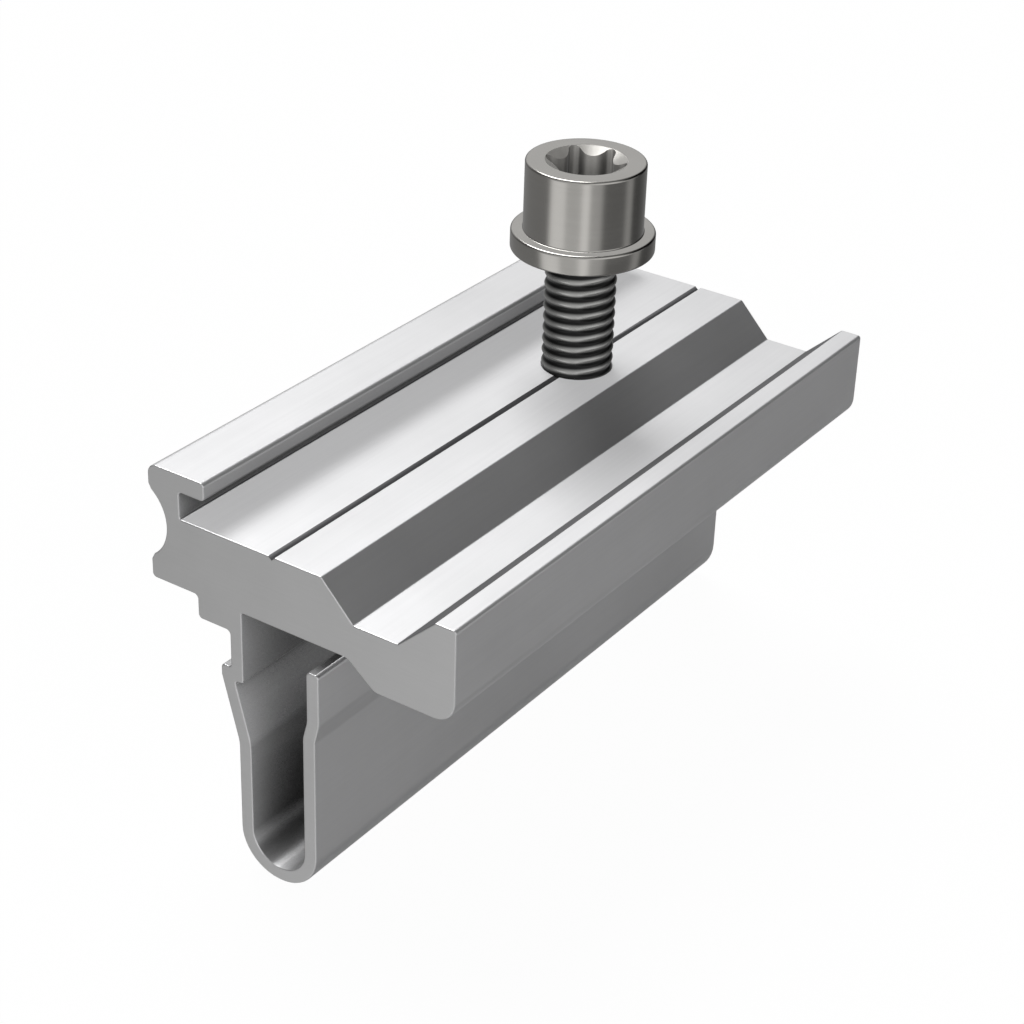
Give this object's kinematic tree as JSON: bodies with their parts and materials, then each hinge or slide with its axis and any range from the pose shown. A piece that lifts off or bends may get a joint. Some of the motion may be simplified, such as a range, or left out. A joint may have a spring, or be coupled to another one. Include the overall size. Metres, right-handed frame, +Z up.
{
  "type": "solar panel end clamp",
  "caption": "Extruded aluminium clamp with a click-in spring foot, lip channel, trough and nose, and a collar-head screw with a lobed socket threaded through it.",
  "frame": {"origin": "on the plane of the rail's top face, where the clamp's two seats rest, on the screw's axis across the section and at the middle of the cut length", "axes": "+X across the section towards the nose, +Y along the extrusion towards the end that the screw is nearer to, +Z up along the screw"},
  "size_m": [0.0376, 0.08, 0.0633],
  "materials": {
    "mill_aluminium": "mill finish with fine drawing lines, satin cut ends",
    "stainless_steel": "cold-formed stainless steel, soft sheen"
  },
  "bodies": {
    "clamp": {"clamp_body": "mill_aluminium"},
    "screw": {"clamp_screw": "stainless_steel"}
  },
  "joints": [
    {"name": "screw_travel", "type": "slide", "parent": "clamp", "child": "screw", "axis": [0, 0, 1], "range_m": [-0.0113, 0.005]}
  ]
}
